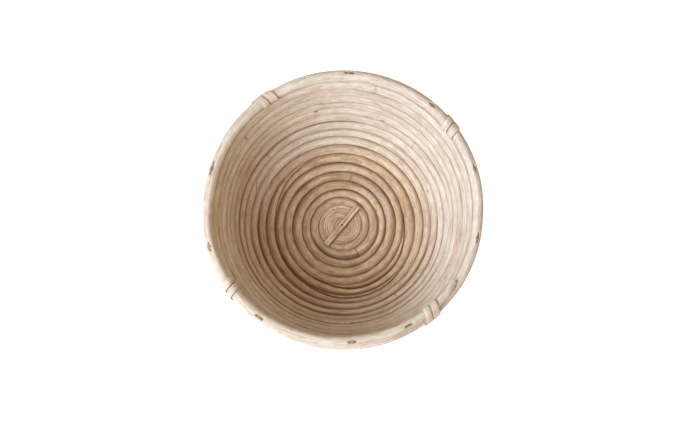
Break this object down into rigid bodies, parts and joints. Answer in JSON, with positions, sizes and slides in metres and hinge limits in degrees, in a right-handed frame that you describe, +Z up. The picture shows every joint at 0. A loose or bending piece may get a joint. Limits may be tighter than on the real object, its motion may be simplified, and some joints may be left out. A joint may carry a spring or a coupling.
{
  "type": "coiled rattan bowl",
  "caption": "Round bowl wound from one spiral of rattan cane on a split-cane centre, pegged turn to turn and bound at the rim, for proofing dough or serving bread.",
  "frame": {"origin": "on the surface the bowl stands on, under the middle of the box round the bowl", "axes": "+Z up through the mouth of the bowl, +X and +Y level; the cane winds outwards anticlockwise seen from above"},
  "size_m": [0.2182, 0.2214, 0.0829],
  "materials": {
    "inner_cane": "bare dry rattan, fine lengthwise fibres, matt",
    "rim_cane": "bare pale rattan, fine lengthwise fibres, matt",
    "split_cane": "split rattan core, open fibres, matt",
    "binding_cane": "flat strip with the smooth skin of the cane, satin",
    "peg_wood": "end grain of bamboo pegs, matt",
    "brad_steel": "dull dark steel"
  },
  "bodies": {
    "root": {"centre_winding": "split_cane", "cross_stick": "split_cane", "stick_brad": "brad_steel", "floor_cane": "inner_cane", "floor_edge_cane": "inner_cane", "lower_wall_cane": "inner_cane", "upper_wall_cane": "inner_cane", "rim_cane": "rim_cane", "rim_binding_1": "binding_cane", "rim_binding_2": "binding_cane", "rim_binding_3": "binding_cane", "rim_binding_4": "binding_cane", "rim_peg_1": "peg_wood", "rim_peg_2": "peg_wood", "rim_peg_3": "peg_wood", "rim_peg_4": "peg_wood", "rim_peg_5": "peg_wood", "rim_peg_6": "peg_wood", "rim_peg_7": "peg_wood", "rim_peg_8": "peg_wood", "rim_peg_9": "peg_wood", "turn_peg_1_1": "peg_wood", "turn_peg_1_2": "peg_wood", "turn_peg_1_3": "peg_wood", "turn_peg_1_4": "peg_wood", "turn_peg_1_5": "peg_wood", "turn_peg_1_6": "peg_wood", "turn_peg_1_7": "peg_wood", "turn_peg_2_1": "peg_wood", "turn_peg_2_2": "peg_wood", "turn_peg_2_3": "peg_wood", "turn_peg_2_4": "peg_wood", "turn_peg_2_5": "peg_wood", "turn_peg_2_6": "peg_wood", "turn_peg_2_7": "peg_wood"}
  },
  "joints": []
}
